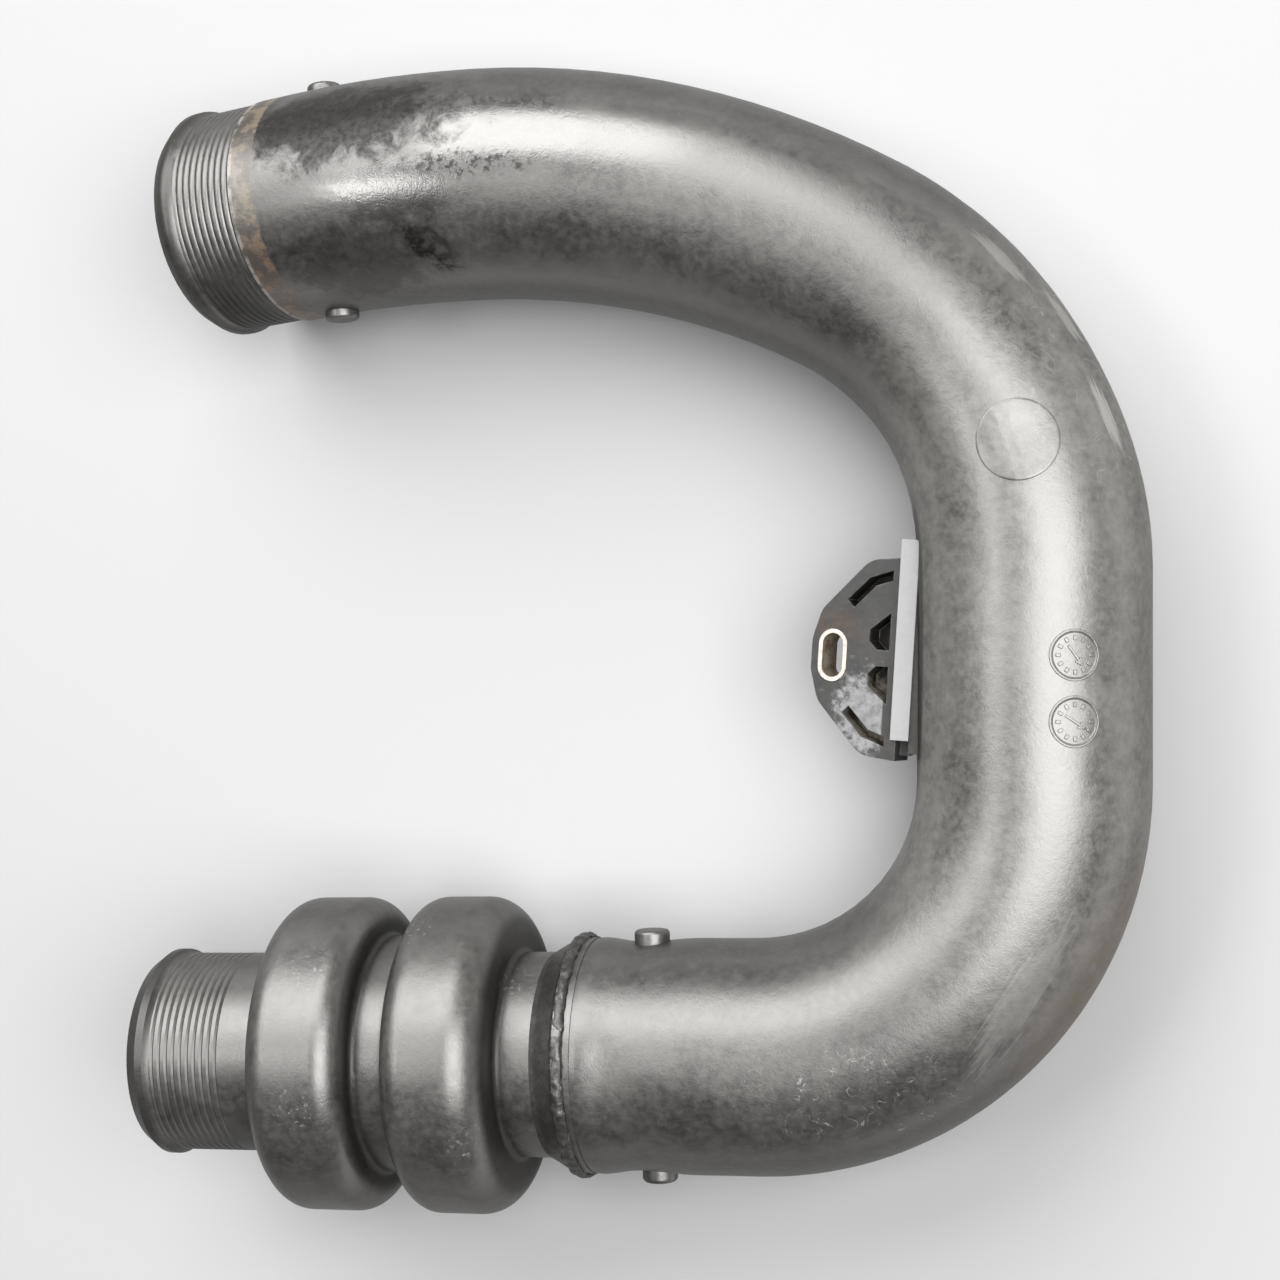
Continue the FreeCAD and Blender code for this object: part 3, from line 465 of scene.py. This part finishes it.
def pipe_nylon():
    """Nylon of the blown pipe, oily at its outlet and scuffed on its bends, with painted shade beside
    the bracket, on the outlet's bead and under it, and a painted highlight along the outlet's
    shoulder.
    """
    finish = MouldedNylon("pipe_nylon")
    ragged = finish.noise(260, 4.0, 0.65)
    smear = finish.noise(95, 8.0, 0.75, distortion=0.35)
    # Road dust over the outer run
    greyed = finish.near(*ROAD_HAZE, core=0.5)
    finish.cover(greyed * (0.12 + finish.dust * 0.66), colours().haze, 0.44)
    # Wet patches beside the outlet, and the sheen where they were wiped
    wet = finish.patch(*WET_PATCH, smear)
    wet_low = finish.patch(*WET_PATCH_LOW, smear)
    sheen = finish.near(*WIPED_SHEEN, core=0.2)
    finish.polish(sheen * 0.7, 0.20)
    finish.polish(wet * 0.9, 0.15)
    finish.polish(wet_low * 0.9, 0.22)
    finish.feed("Coat Weight", GLOSS + (wet + wet_low + sheen).between(0.0, 1.0) * (1.0 - GLOSS))
    # Tan band beside the outlet's shoulder, rusty towards the inside of the U
    along = finish.along(OUTLET_SHOULDER, OUTLET_WAY)
    outside = finish.around(OUTLET_SHOULDER, OUTLET_WAY).between(0.0355, 0.0362)
    edge = along + ragged * 0.0024 - 0.0012
    band = edge.between(-0.0096, -0.0086) * along.between(0.0004, -0.0002) * outside
    patchy = finish.noise(130, 6.0, 0.7)
    rusty = finish.near(*RUSTY_SIDE, core=0.3)
    finish.cover(band * (0.45 + patchy.between(0.35, 0.60) * 0.45), colours().stain, 0.5)
    finish.cover(band * rusty * (0.5 + patchy.between(0.36, 0.54) * 0.5), colours().rust, 0.55)
    finish.cover(band * patchy.between(0.57, 0.45) * 0.75, colours().oil_and_shade, 0.5)
    # Painted highlight: a thin pale line along the outlet shoulder's edge
    rim = along.between(-0.0016, -0.0009) * along.between(0.0003, -0.0002) * outside
    finish.cover(rim * ragged.between(0.35, 0.55) * 0.55, colours().scuff_and_highlight, 0.4)
    # Scratches and scuffs on the outside of the upper bend
    fine = finish.lines(60, 0.006, 0.8)
    coarse = finish.lines(26, 0.004, 1.2)
    broken = finish.noise(190, 3.0, 0.6).between(0.46, 0.62)
    finish.cover((fine + coarse) * broken * finish.near(*SCRATCHED_BEND) * 0.5, colours().scuff_and_highlight, 0.6)
    for place, degrees, share in EDGE_SCUFFS:
        finish.scrape(place, math.radians(degrees), SCUFF_REACH, SCUFF_HAIR, share, 0.3)
    # One broad pale streak and finer ones on the outside of the lower bend
    finish.scrape(STREAK, STREAK_HEADING, STREAK_REACH, STREAK_HAIR, 0.30, 0.5)
    finer = finish.lines(140, 0.012, 1.5)
    finish.cover(finer * broken * finish.near(*SCRATCHED_RUN) * 0.7, colours().scuff_and_highlight, 0.6)
    # Brown road dust along that bend's edge
    soil = finish.near(*SOILED_EDGE, STREAK_HEADING, 0.3)
    finish.cover(soil * patchy.between(0.32, 0.56) * 0.75, colours().soil, 0.75)
    # Recesses of the mould dials
    for _, place, _, _ in DIALS:
        dial = finish.near(place, [marks().dial_radius] * 3, core=0.92)
        finish.height = finish.height - dial * 2.0
    # Dark oily film beyond the band, with a trail of specks, and smears below it
    clear = 1.0 - band
    film = finish.patch(*OILY_FILM, smear) * (0.78 + finish.speckle.between(0.3, 0.7) * 0.16)
    broken_up = 0.35 + ragged.between(0.38, 0.58) * 0.45
    smeared = finish.patch(*OILY_SMEAR, smear, SMEAR_HEADING) * broken_up
    faint = finish.patch(*FAINT_SMEAR, smear) * 0.55
    trail = finish.patch(*OILY_TRAIL, ragged) * finish.speckle.between(0.45, 0.62)
    finish.lay_grease_and_shade((film + smeared + faint) * clear + trail * 0.8)
    # Painted shade on the pipe beside the bracket, on the outlet's bead and under the outlet
    finish.lay_grease_and_shade(finish.near(*PAINTED_SHADE_BESIDE_BRACKET, core=0.7) * 0.85)
    finish.lay_grease_and_shade(along.between(0.0216, 0.0238) * 0.6)
    underside_shade = finish.near(*OUTLET_UNDERSIDE_SHADE, core=0.2) * along.between(0.0228, 0.0216)
    finish.lay_grease_and_shade(underside_shade * clear * 0.9)
    return finish.done()


def bellows_nylon():
    """Nylon of the bellows cuff, flecked on its crests, with painted shade in its creases, on its
    spigot's bead and under the spigot.
    """
    finish = MouldedNylon("bellows_nylon")
    patchy = finish.noise(90, 5.0, 0.7).between(0.42, 0.68)
    finish.cover(patchy * 0.25, colours().dust, 0.55)
    flecks = finish.noise(620, 2.0, 0.5).between(0.60, 0.68)
    for place in CREST_MARKS:
        crest = finish.near(place, CREST_REACH, core=0.1)
        finish.cover(crest * flecks * 0.5, colours().scuff_and_highlight, 0.6)
    # Painted shade against the convolutions' walls, on the spigot's bead and under the spigot, and a
    # speckled dark film on the cone before the weld
    along = finish.along(WELD_PLACE, WELD_WAY)
    deep = finish.around(WELD_PLACE, WELD_WAY).between(0.0480, 0.0430)
    for wall in CONVOLUTION_WALLS:
        finish.lay_grease_and_shade(abs(along - wall).between(0.0042, 0.0012) * deep * 0.8)
    cone = along.between(-0.0116, -0.0096) * along.between(-0.0030, -0.0045)
    finish.lay_grease_and_shade(cone * (0.35 + finish.speckle.between(0.35, 0.65) * 0.4))
    finish.lay_grease_and_shade(along.between(-0.1428, -0.1446) * 0.6)
    spigot = along.between(-0.1038, -0.1052) * along.between(-0.1446, -0.1428)
    finish.lay_grease_and_shade(finish.near(*SPIGOT_UNDERSIDE_SHADE, core=0.2) * spigot * 0.85)
    return finish.done()


def flash_nylon():
    """Nylon that the weld pressed out, pale on its lumps."""
    finish = MouldedNylon("flash_nylon")
    pale = finish.noise(500, 3.0).between(0.45, 0.75)
    finish.cover(pale * 0.6, colours().dust, 0.55)
    finish.lay_grease_and_shade(0.6 - pale * 0.4)
    return finish.done(0.0004)


def bracket_nylon():
    """Nylon of the bracket, with a painted highlight on the flange's near edge, painted shade in its
    pockets, a scraped pocket and rust from the sleeve.
    """
    finish = MouldedNylon("bracket_nylon", colours().bracket, IOR=1.55)
    finish.roughness = finish.roughness + 0.1
    rough_edge = finish.noise(300, 5.0, 0.7)
    # Painted shade in the pockets, and edges worn pale
    depth = finish.along(WEB_FACE, WEB_WAY)
    beyond = finish.along(FLANGE_BACK, FLANGE_WAY)
    on_web = beyond.between(-0.0030, -0.0036)
    finish.cover(on_web * depth.between(-0.0006, -0.0020), colours().oil_and_shade, 0.6)
    worn = finish.edges(0.0007) * rough_edge.between(0.35, 0.62)
    finish.cover(worn * 0.45, colours().abraded_and_highlight, 0.55)
    # Rust that ran from the sleeve
    ran = finish.near(*SLEEVE_RUST, core=0.2)
    finish.cover(ran * rough_edge.between(0.35, 0.6) * 0.45, colours().rust, 0.6)
    # Lower pocket scraped pale, with dirt in it
    scraped = finish.patch(*SCRAPED_POCKET, rough_edge) * on_web
    scraped = scraped * (0.45 + rough_edge.between(0.30, 0.65) * 0.55)
    finish.cover(scraped * depth.between(-0.0020, -0.0006) * 0.72, colours().abraded_and_highlight, 0.5)
    finish.cover(scraped * depth.between(-0.0008, -0.0025) * 0.75, colours().clay, 0.7)
    # Painted highlight on the near edge of the weld flange
    cut = finish.along(FLANGE_EDGE, FLANGE_EDGE_WAY).between(-0.0006, -0.0002)
    cut = cut * beyond.between(-0.0036, -0.0028)
    finish.cover(cut * (0.80 + rough_edge * 0.25), colours().abraded_and_highlight, 0.5)
    return finish.done(0.00010, 0.0005)


def sleeve_metal():
    """Plated steel of the screw sleeve, brown and dirty inside."""
    finish = Finish("sleeve_metal")
    spots = finish.noise(420, 5.0, 0.65)
    inside = finish.along(WEB_FACE, WEB_WAY).between(0.0001, -0.0009)
    dirty = spots.between(0.40, 0.66)
    bright = finish.mix(dirty * 0.25, colours().sleeve, colours().rust)
    brown = finish.mix(dirty, colours().clay, colours().rust)
    finish.feed("Base Color", finish.mix(inside, bright, brown))
    finish.feed("Metallic", 0.9 - inside * 0.7)
    finish.feed("Roughness", 0.36 + inside * 0.25)
    finish.bump(spots, 0.00005, 0.0003)
    return finish.material


# Modelling helpers


def start_fresh():
    """Nothing selected, ready for a new primitive."""
    bpy.ops.object.select_all(action="DESELECT")


def only(piece):
    """Select one piece and make it active."""
    start_fresh()
    piece.select_set(True)
    bpy.context.view_layer.objects.active = piece


def apply_modifier(piece, kind, **settings):
    """Add a modifier to a piece and apply it."""
    only(piece)
    modifier = piece.modifiers.new(kind.title(), kind)
    for name, setting in settings.items():
        setattr(modifier, name, setting)
    bpy.ops.object.modifier_apply(modifier=modifier.name)


def set_place(piece, place, way):
    """Put a piece at a place with its Z along a way; finish_piece moves that into its mesh."""
    turn = Vector((0, 0, 1)).rotation_difference(way).to_matrix().to_4x4()
    piece.matrix_world = Matrix.Translation(place) @ turn
    bpy.context.view_layer.update()


def finish_piece(piece, name, material):
    """Place into the mesh, name, finish and body."""
    only(piece)
    bpy.ops.object.transform_apply(location=True, rotation=True, scale=True)
    bpy.ops.object.shade_smooth_by_angle(angle=SMOOTH_ANGLE)
    piece.name = name
    piece.data.name = name
    piece.data.materials.clear()
    piece.data.materials.append(material)
    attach(piece, BODY)


def smooth_copy(node, name, material):
    """A copy of a CAD node with its seams merged, which stands for it."""
    piece = bpy.data.objects.new(name, frame["nodes"][node].data.copy())
    bpy.context.scene.collection.objects.link(piece)
    only(piece)
    bpy.ops.object.mode_set(mode="EDIT")
    bpy.ops.mesh.select_all(action="SELECT")
    bpy.ops.mesh.remove_doubles(threshold=MERGE)
    bpy.ops.object.mode_set(mode="OBJECT")
    bpy.ops.mesh.customdata_custom_splitnormals_clear()
    finish_piece(piece, name, material)
    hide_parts(node)


def dress(node, material):
    """Give a CAD node its finish."""
    frame["nodes"][node].material_slots[0].material = material


# Operators


class PIPE_OT_dress_pipe(bpy.types.Operator):
    """Give the blown pipe its worn satin nylon"""

    bl_idname = "pipe.dress_pipe"
    bl_label = "Dress pipe"

    def execute(self, context):
        smooth_copy("main_pipe", PIPE_SKIN, pipe_nylon())
        return {"FINISHED"}


class PIPE_OT_dress_bellows(bpy.types.Operator):
    """Give the bellows cuff its dusty nylon"""

    bl_idname = "pipe.dress_bellows"
    bl_label = "Dress bellows"

    def execute(self, context):
        dress("bellows_cuff", bellows_nylon())
        return {"FINISHED"}


class PIPE_OT_dress_bracket(bpy.types.Operator):
    """Give the bracket and its screw sleeve their finishes"""

    bl_idname = "pipe.dress_bracket"
    bl_label = "Dress bracket"

    def execute(self, context):
        dress("bracket", bracket_nylon())
        dress("compression_limiter", sleeve_metal())
        return {"FINISHED"}


class PIPE_OT_weld_flash(bpy.types.Operator):
    """Lay the uneven roll of weld flash round the weld"""

    bl_idname = "pipe.weld_flash"
    bl_label = "Weld flash"

    def execute(self, context):
        start_fresh()
        bpy.ops.mesh.primitive_torus_add(
            major_segments=256, minor_segments=14,
            major_radius=marks().flash_radius, minor_radius=marks().flash_thickness)
        ring = context.active_object
        ring.scale = (1, 1, FLASH_STRETCH)
        only(ring)
        bpy.ops.object.transform_apply(location=False, rotation=False, scale=True)
        lumps = bpy.data.textures.new("flash_lumps", "CLOUDS")
        lumps.noise_scale = FLASH_GRAIN
        lumps.noise_depth = 3
        apply_modifier(ring, "DISPLACE", texture=lumps, texture_coords="LOCAL",
                       strength=marks().flash_lumps, mid_level=0.55)
        set_place(ring, WELD_PLACE - WELD_WAY * FLASH_OFFSET, WELD_WAY)
        finish_piece(ring, "weld_flash", flash_nylon())
        return {"FINISHED"}


def conform(piece):
    """Lay a flat piece on the pipe's skin."""
    apply_modifier(piece, "SHRINKWRAP", target=bpy.data.objects[PIPE_SKIN], wrap_method="PROJECT",
                   use_project_z=True, use_positive_direction=True, use_negative_direction=True)


def raise_mark(piece, relief):
    """Raise a piece that lies on the skin, with a foot under the skin and soft edges above it."""
    apply_modifier(piece, "SOLIDIFY", thickness=relief * 1.5, offset=0.34)
    apply_modifier(piece, "BEVEL", width=relief * 0.6, segments=2, limit_method="ANGLE",
                   angle_limit=math.radians(50))


class PIPE_OT_mould_dials(bpy.types.Operator):
    """Set two mould dials beside each other on the right run"""

    bl_idname = "pipe.mould_dials"
    bl_label = "Mould dials"

    def rim(self, radius):
        """A flat ring whose inside is the dial's edge."""
        start_fresh()
        bpy.ops.mesh.primitive_circle_add(vertices=72, radius=radius + RIM_WIDTH, fill_type="NGON")
        bpy.ops.object.mode_set(mode="EDIT")
        bpy.ops.mesh.inset(thickness=RIM_WIDTH)
        bpy.ops.mesh.delete(type="FACE")
        bpy.ops.object.mode_set(mode="OBJECT")
        return bpy.context.active_object

    def bar(self, length, width, middle, angle):
        """A flat bar that points from the dial's middle, cut up so that it can follow the skin."""
        start_fresh()
        bpy.ops.mesh.primitive_plane_add(size=1.0)
        piece = bpy.context.active_object
        piece.scale = (length, width, 1)
        piece.rotation_euler = (0, 0, angle)
        piece.location = (middle * math.cos(angle), middle * math.sin(angle), 0)
        bpy.ops.object.transform_apply(location=True, rotation=True, scale=True)
        bpy.ops.object.mode_set(mode="EDIT")
        bpy.ops.mesh.subdivide(number_cuts=4)
        bpy.ops.object.mode_set(mode="OBJECT")
        return piece

    def execute(self, context):
        radius = marks().dial_radius
        for name, place, way, pointing in DIALS:
            parts = [self.rim(radius)]
            for tick in range(marks().dial_ticks):
                turn = math.tau * tick / marks().dial_ticks
                parts.append(self.bar(TICK_LENGTH, TICK_WIDTH, radius - TICK_INSET, turn))
            arrow = math.radians(pointing)
            parts.append(self.bar(ARROW_LENGTH, ARROW_WIDTH, 0.0, arrow))
            tip = Vector((math.cos(arrow), math.sin(arrow), 0)) * ARROW_TIP
            for side in (1, -1):
                barb = self.bar(BARB_LENGTH, ARROW_WIDTH, BARB_MIDDLE, arrow)
                swing = Matrix.Rotation(side * BARB_ANGLE, 4, "Z")
                barb.matrix_world = Matrix.Translation(tip) @ swing @ Matrix.Translation(-tip)
                parts.append(barb)
            start_fresh()
            for part in parts:
                part.select_set(True)
            dial = parts[0]
            context.view_layer.objects.active = dial
            bpy.ops.object.join()
            set_place(dial, Vector(place), Vector(way).normalized())
            conform(dial)
            raise_mark(dial, marks().relief)
            finish_piece(dial, name, bpy.data.materials["pipe_nylon"])
        return {"FINISHED"}


class PIPE_OT_insert_disc(bpy.types.Operator):
    """Lay the faint round mark of a mould insert on the upper bend"""

    bl_idname = "pipe.insert_disc"
    bl_label = "Insert mark"

    def execute(self, context):
        start_fresh()
        bpy.ops.mesh.primitive_circle_add(vertices=96, radius=marks().disc_radius, fill_type="NGON")
        disc = context.active_object
        bpy.ops.object.mode_set(mode="EDIT")
        for _ in range(INSERT_RINGS):
            bpy.ops.mesh.inset(thickness=marks().disc_radius / (INSERT_RINGS + 1))
        bpy.ops.object.mode_set(mode="OBJECT")
        set_place(disc, INSERT_PLACE, INSERT_WAY.normalized())
        conform(disc)
        # Its middle is still selected, and sinks
        only(disc)
        bpy.ops.object.mode_set(mode="EDIT")
        bpy.ops.transform.translate(
            value=(0, 0, -INSERT_SINK), orient_type="LOCAL", use_proportional_edit=True,
            proportional_edit_falloff="SMOOTH", proportional_size=marks().disc_radius)
        bpy.ops.object.mode_set(mode="OBJECT")
        raise_mark(disc, INSERT_RELIEF)
        finish_piece(disc, "insert_mark", bpy.data.materials["pipe_nylon"])
        return {"FINISHED"}


class PIPE_OT_studio(bpy.types.Operator):
    """Set the floor, the lights and the camera"""

    bl_idname = "pipe.studio"
    bl_label = "Studio"

    def softbox(self, name, place, power, width, depth):
        """An area light that faces what the camera looks at."""
        lamp = bpy.data.lights.new(name, "AREA")
        lamp.shape = "RECTANGLE"
        lamp.size = width
        lamp.size_y = depth
        lamp.energy = power
        box = bpy.data.objects.new(name, lamp)
        bpy.context.scene.collection.objects.link(box)
        aim = Vector(bpy.context.scene.pipe_studio.camera_aim) - Vector(place)
        facing = aim.to_track_quat("-Z", "Y").to_matrix().to_4x4()
        box.matrix_world = Matrix.Translation(place) @ facing

    def execute(self, context):
        studio = context.scene.pipe_studio
        start_fresh()
        bpy.ops.mesh.primitive_plane_add(size=FLOOR_SIDE)
        floor = context.active_object
        floor.name = "floor"
        paper = Finish("floor_paper", Roughness=0.9, Specular_IOR_Level=0.1)
        camera_ray, glossy_ray, clear_ray = (
            paper.node("ShaderNodeLightPath", {}, {}, ray)
            for ray in ("Is Camera Ray", "Is Glossy Ray", "Is Transmission Ray"))
        seen = (camera_ray + glossy_ray + clear_ray).between(0.0, 1.0)
        paper.feed("Base Color", paper.mix(seen, FLOOR_BOUNCE, colours().floor))
        # The camera sees the floor fade into the pale room
        far = paper.vector("LENGTH", paper.place, output="Value").between(*FLOOR_FADE)
        paper.feed("Alpha", 1.0 - far * camera_ray)
        floor.data.materials.append(paper.material)

        for name, place, width, depth in SOFTBOXES:
            self.softbox(name + "_light", place, getattr(studio, name + "_power"), width, depth)

        world = bpy.data.worlds.new("room")
        world.use_nodes = True
        tree = world.node_tree
        tree.nodes["Background"].inputs["Color"].default_value = (1, 1, 1, 1)
        level = tree.nodes.new("ShaderNodeMapRange")
        level.inputs["To Min"].default_value = studio.sky
        level.inputs["To Max"].default_value = studio.backdrop
        light_path = tree.nodes.new("ShaderNodeLightPath")
        tree.links.new(light_path.outputs["Is Camera Ray"], level.inputs["Value"])
        tree.links.new(level.outputs[0], tree.nodes["Background"].inputs["Strength"])
        context.scene.world = world
        context.scene.view_settings.view_transform = "Standard"

        lens = bpy.data.cameras.new("camera")
        lens.lens = studio.lens
        camera = bpy.data.objects.new("camera", lens)
        context.scene.collection.objects.link(camera)
        back = (Vector(studio.camera_place) - Vector(studio.camera_aim)).normalized()
        across = CAMERA_UP.cross(back).normalized()
        upwards = back.cross(across)
        camera.matrix_world = Matrix.Translation(studio.camera_place) @ Matrix(
            (across, upwards, back)).transposed().to_4x4()
        context.scene.camera = camera
        return {"FINISHED"}


STEPS = (
    PIPE_OT_dress_pipe,
    PIPE_OT_dress_bellows,
    PIPE_OT_dress_bracket,
    PIPE_OT_weld_flash,
    PIPE_OT_mould_dials,
    PIPE_OT_insert_disc,
    PIPE_OT_studio,
)


class PIPE_PT_sidebar(bpy.types.Panel):
    """Settings and steps of the intercooler pipe"""

    bl_label = "Intercooler Pipe"
    bl_idname = "PIPE_PT_sidebar"
    bl_space_type = "VIEW_3D"
    bl_region_type = "UI"
    bl_category = "Intercooler Pipe"

    def draw(self, context):
        scene = context.scene
        for group in (scene.pipe_colours, scene.pipe_marks, scene.pipe_studio):
            column = self.layout.column()
            for name in group.bl_rna.properties.keys():
                if name not in ("rna_type", "name"):
                    column.prop(group, name)
        for step in STEPS:
            self.layout.operator(step.bl_idname)


CLASSES = (PipeColours, PipeMarks, StudioSettings) + STEPS + (PIPE_PT_sidebar,)


def register():
    for item in CLASSES:
        bpy.utils.register_class(item)
    bpy.types.Scene.pipe_colours = bpy.props.PointerProperty(type=PipeColours)
    bpy.types.Scene.pipe_marks = bpy.props.PointerProperty(type=PipeMarks)
    bpy.types.Scene.pipe_studio = bpy.props.PointerProperty(type=StudioSettings)


def unregister():
    del bpy.types.Scene.pipe_studio
    del bpy.types.Scene.pipe_marks
    del bpy.types.Scene.pipe_colours
    for item in reversed(CLASSES):
        bpy.utils.unregister_class(item)


def main():
    register()
    bpy.ops.pipe.dress_pipe()
    bpy.ops.pipe.dress_bellows()
    bpy.ops.pipe.dress_bracket()
    bpy.ops.pipe.weld_flash()
    bpy.ops.pipe.mould_dials()
    bpy.ops.pipe.insert_disc()
    bpy.ops.pipe.studio()


if __name__ == "__main__":
    main()
